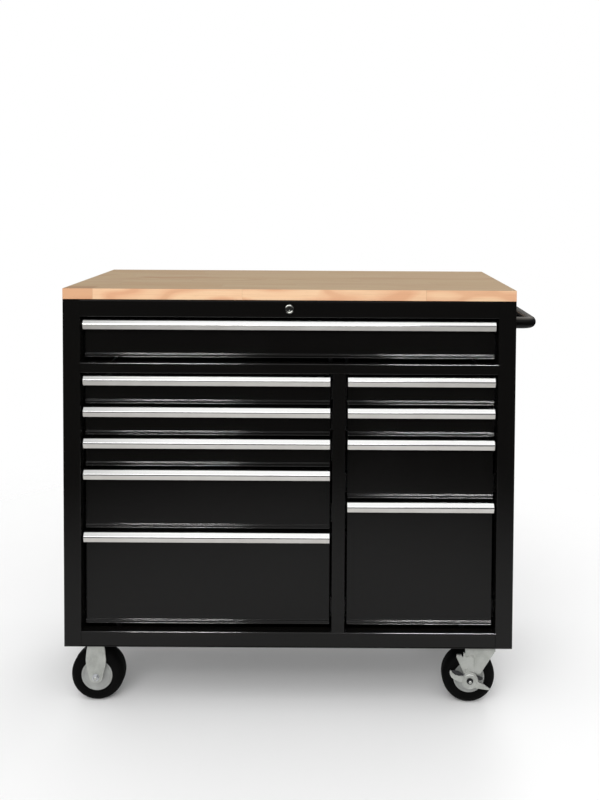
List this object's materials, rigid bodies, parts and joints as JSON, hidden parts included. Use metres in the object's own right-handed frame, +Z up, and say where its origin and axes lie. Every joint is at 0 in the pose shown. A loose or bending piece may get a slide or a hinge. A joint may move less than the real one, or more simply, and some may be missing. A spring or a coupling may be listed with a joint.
{
  "type": "rolling tool cabinet",
  "caption": "Rolling steel tool cabinet with a wooden worktop, a full-width top drawer over two columns of drawers, a push handle, a key lock and braked casters.",
  "frame": {"origin": "on the floor, in the middle of the bounding box", "axes": "+X to the right seen from the front, towards the push handle; +Y to the back, so the drawers open towards -Y; +Z up"},
  "size_m": [1.1004, 0.463, 0.99],
  "materials": {
    "black_enamel": "gloss black enamel with a fine orange peel",
    "handle_black": "gloss black",
    "pull_aluminium": "satin anodised, drawn along its length",
    "worktop_wood": "finger-jointed light hardwood staves with a clear satin lacquer",
    "zinc_steel": "bright zinc plate",
    "caster_zinc": "zinc plate, light warm grey",
    "hub_grey": "light grey moulded hub",
    "tyre_rubber": "smooth black rubber",
    "lock_chrome": "bright chrome"
  },
  "bodies": {
    "cabinet": {"left_side_panel": "black_enamel", "right_side_panel": "black_enamel", "back_panel": "black_enamel", "bottom_panel": "black_enamel", "top_panel": "black_enamel", "top_rail": "black_enamel", "middle_rail": "black_enamel", "bottom_rail": "black_enamel", "center_partition": "black_enamel", "worktop": "worktop_wood", "push_handle": "handle_black", "mounting_bolts": "caster_zinc", "lock_housing": "lock_chrome", "cabinet_slide_rails": "zinc_steel", "rigid_caster_forks": "caster_zinc", "swivel_top_plates": "caster_zinc"},
    "lock_plug": {"lock_plug": "lock_chrome"},
    "lock_bars": {"lock_bars": "zinc_steel"},
    "top_drawer": {"top_drawer_box": "black_enamel", "top_drawer_pull": "pull_aluminium"},
    "top_drawer_slides": {"top_drawer_slides": "zinc_steel"},
    "left_drawer_1": {"left_drawer_1_box": "black_enamel", "left_drawer_1_pull": "pull_aluminium"},
    "left_drawer_1_slides": {"left_drawer_1_slides": "zinc_steel"},
    "left_drawer_2": {"left_drawer_2_box": "black_enamel", "left_drawer_2_pull": "pull_aluminium"},
    "left_drawer_2_slides": {"left_drawer_2_slides": "zinc_steel"},
    "left_drawer_3": {"left_drawer_3_box": "black_enamel", "left_drawer_3_pull": "pull_aluminium"},
    "left_drawer_3_slides": {"left_drawer_3_slides": "zinc_steel"},
    "left_drawer_4": {"left_drawer_4_box": "black_enamel", "left_drawer_4_pull": "pull_aluminium"},
    "left_drawer_4_slides": {"left_drawer_4_slides": "zinc_steel"},
    "left_drawer_5": {"left_drawer_5_box": "black_enamel", "left_drawer_5_pull": "pull_aluminium"},
    "left_drawer_5_slides": {"left_drawer_5_slides": "zinc_steel"},
    "right_drawer_1": {"right_drawer_1_box": "black_enamel", "right_drawer_1_pull": "pull_aluminium"},
    "right_drawer_1_slides": {"right_drawer_1_slides": "zinc_steel"},
    "right_drawer_2": {"right_drawer_2_box": "black_enamel", "right_drawer_2_pull": "pull_aluminium"},
    "right_drawer_2_slides": {"right_drawer_2_slides": "zinc_steel"},
    "right_drawer_3": {"right_drawer_3_box": "black_enamel", "right_drawer_3_pull": "pull_aluminium"},
    "right_drawer_3_slides": {"right_drawer_3_slides": "zinc_steel"},
    "right_drawer_4": {"right_drawer_4_box": "black_enamel", "right_drawer_4_pull": "pull_aluminium"},
    "right_drawer_4_slides": {"right_drawer_4_slides": "zinc_steel"},
    "front_swivel": {"front_swivel_fork": "caster_zinc"},
    "front_brake": {"front_brake_lever": "caster_zinc"},
    "front_left_wheel": {"front_left_hub": "hub_grey", "front_left_tyre": "tyre_rubber"},
    "front_right_wheel": {"front_right_hub": "hub_grey", "front_right_tyre": "tyre_rubber"},
    "rear_swivel": {"rear_swivel_fork": "caster_zinc"},
    "rear_brake": {"rear_brake_lever": "caster_zinc"},
    "rear_left_wheel": {"rear_left_hub": "hub_grey", "rear_left_tyre": "tyre_rubber"},
    "rear_right_wheel": {"rear_right_hub": "hub_grey", "rear_right_tyre": "tyre_rubber"}
  },
  "joints": [
    {"name": "lock_turn", "type": "hinge", "parent": "cabinet", "child": "lock_plug", "pos_m": [-0.02975, -0.2285, 0.945], "axis": [0, -1, 0], "range_deg": [0, 90]},
    {"name": "lock_bars_lift", "type": "slide", "parent": "cabinet", "child": "lock_bars", "axis": [0, 0, 1], "range_m": [0, 0.01131]},
    {"name": "top_drawer_open", "type": "slide", "parent": "cabinet", "child": "top_drawer", "axis": [0, -1, 0], "range_m": [0, 0.38]},
    {"name": "top_drawer_slides_follow", "type": "slide", "parent": "cabinet", "child": "top_drawer_slides", "axis": [0, -1, 0], "range_m": [0, 0.19]},
    {"name": "left_drawer_1_open", "type": "slide", "parent": "cabinet", "child": "left_drawer_1", "axis": [0, -1, 0], "range_m": [0, 0.38]},
    {"name": "left_drawer_1_slides_follow", "type": "slide", "parent": "cabinet", "child": "left_drawer_1_slides", "axis": [0, -1, 0], "range_m": [0, 0.19]},
    {"name": "left_drawer_2_open", "type": "slide", "parent": "cabinet", "child": "left_drawer_2", "axis": [0, -1, 0], "range_m": [0, 0.38]},
    {"name": "left_drawer_2_slides_follow", "type": "slide", "parent": "cabinet", "child": "left_drawer_2_slides", "axis": [0, -1, 0], "range_m": [0, 0.19]},
    {"name": "left_drawer_3_open", "type": "slide", "parent": "cabinet", "child": "left_drawer_3", "axis": [0, -1, 0], "range_m": [0, 0.38]},
    {"name": "left_drawer_3_slides_follow", "type": "slide", "parent": "cabinet", "child": "left_drawer_3_slides", "axis": [0, -1, 0], "range_m": [0, 0.19]},
    {"name": "left_drawer_4_open", "type": "slide", "parent": "cabinet", "child": "left_drawer_4", "axis": [0, -1, 0], "range_m": [0, 0.38]},
    {"name": "left_drawer_4_slides_follow", "type": "slide", "parent": "cabinet", "child": "left_drawer_4_slides", "axis": [0, -1, 0], "range_m": [0, 0.19]},
    {"name": "left_drawer_5_open", "type": "slide", "parent": "cabinet", "child": "left_drawer_5", "axis": [0, -1, 0], "range_m": [0, 0.38]},
    {"name": "left_drawer_5_slides_follow", "type": "slide", "parent": "cabinet", "child": "left_drawer_5_slides", "axis": [0, -1, 0], "range_m": [0, 0.19]},
    {"name": "right_drawer_1_open", "type": "slide", "parent": "cabinet", "child": "right_drawer_1", "axis": [0, -1, 0], "range_m": [0, 0.38]},
    {"name": "right_drawer_1_slides_follow", "type": "slide", "parent": "cabinet", "child": "right_drawer_1_slides", "axis": [0, -1, 0], "range_m": [0, 0.19]},
    {"name": "right_drawer_2_open", "type": "slide", "parent": "cabinet", "child": "right_drawer_2", "axis": [0, -1, 0], "range_m": [0, 0.38]},
    {"name": "right_drawer_2_slides_follow", "type": "slide", "parent": "cabinet", "child": "right_drawer_2_slides", "axis": [0, -1, 0], "range_m": [0, 0.19]},
    {"name": "right_drawer_3_open", "type": "slide", "parent": "cabinet", "child": "right_drawer_3", "axis": [0, -1, 0], "range_m": [0, 0.38]},
    {"name": "right_drawer_3_slides_follow", "type": "slide", "parent": "cabinet", "child": "right_drawer_3_slides", "axis": [0, -1, 0], "range_m": [0, 0.19]},
    {"name": "right_drawer_4_open", "type": "slide", "parent": "cabinet", "child": "right_drawer_4", "axis": [0, -1, 0], "range_m": [0, 0.38]},
    {"name": "right_drawer_4_slides_follow", "type": "slide", "parent": "cabinet", "child": "right_drawer_4_slides", "axis": [0, -1, 0], "range_m": [0, 0.19]},
    {"name": "front_swivel_turn", "type": "hinge", "parent": "cabinet", "child": "front_swivel", "pos_m": [0.42675, -0.1635, 0.152], "axis": [0, 0, 1], "continuous": true},
    {"name": "front_brake_press", "type": "hinge", "parent": "front_swivel", "child": "front_brake", "pos_m": [0.39775, -0.1635, 0.0625], "axis": [0, -1, 0], "range_deg": [0, 30]},
    {"name": "front_left_wheel_roll", "type": "hinge", "parent": "cabinet", "child": "front_left_wheel", "pos_m": [-0.48625, -0.1635, 0.0625], "axis": [0, 1, 0], "continuous": true},
    {"name": "front_right_wheel_roll", "type": "hinge", "parent": "front_swivel", "child": "front_right_wheel", "pos_m": [0.39775, -0.1635, 0.0625], "axis": [0, 1, 0], "continuous": true},
    {"name": "rear_swivel_turn", "type": "hinge", "parent": "cabinet", "child": "rear_swivel", "pos_m": [0.42675, 0.1665, 0.152], "axis": [0, 0, 1], "continuous": true},
    {"name": "rear_brake_press", "type": "hinge", "parent": "rear_swivel", "child": "rear_brake", "pos_m": [0.39775, 0.1665, 0.0625], "axis": [0, -1, 0], "range_deg": [0, 30]},
    {"name": "rear_left_wheel_roll", "type": "hinge", "parent": "cabinet", "child": "rear_left_wheel", "pos_m": [-0.48625, 0.1665, 0.0625], "axis": [0, 1, 0], "continuous": true},
    {"name": "rear_right_wheel_roll", "type": "hinge", "parent": "rear_swivel", "child": "rear_right_wheel", "pos_m": [0.39775, 0.1665, 0.0625], "axis": [0, 1, 0], "continuous": true}
  ],
  "couplings": [
    {"joint": "lock_turn", "follows": "lock_bars_lift", "rad_per_m": 138.84},
    {"joint": "top_drawer_slides_follow", "follows": "top_drawer_open", "ratio": 0.5},
    {"joint": "left_drawer_1_slides_follow", "follows": "left_drawer_1_open", "ratio": 0.5},
    {"joint": "left_drawer_2_slides_follow", "follows": "left_drawer_2_open", "ratio": 0.5},
    {"joint": "left_drawer_3_slides_follow", "follows": "left_drawer_3_open", "ratio": 0.5},
    {"joint": "left_drawer_4_slides_follow", "follows": "left_drawer_4_open", "ratio": 0.5},
    {"joint": "left_drawer_5_slides_follow", "follows": "left_drawer_5_open", "ratio": 0.5},
    {"joint": "right_drawer_1_slides_follow", "follows": "right_drawer_1_open", "ratio": 0.5},
    {"joint": "right_drawer_2_slides_follow", "follows": "right_drawer_2_open", "ratio": 0.5},
    {"joint": "right_drawer_3_slides_follow", "follows": "right_drawer_3_open", "ratio": 0.5},
    {"joint": "right_drawer_4_slides_follow", "follows": "right_drawer_4_open", "ratio": 0.5}
  ]
}
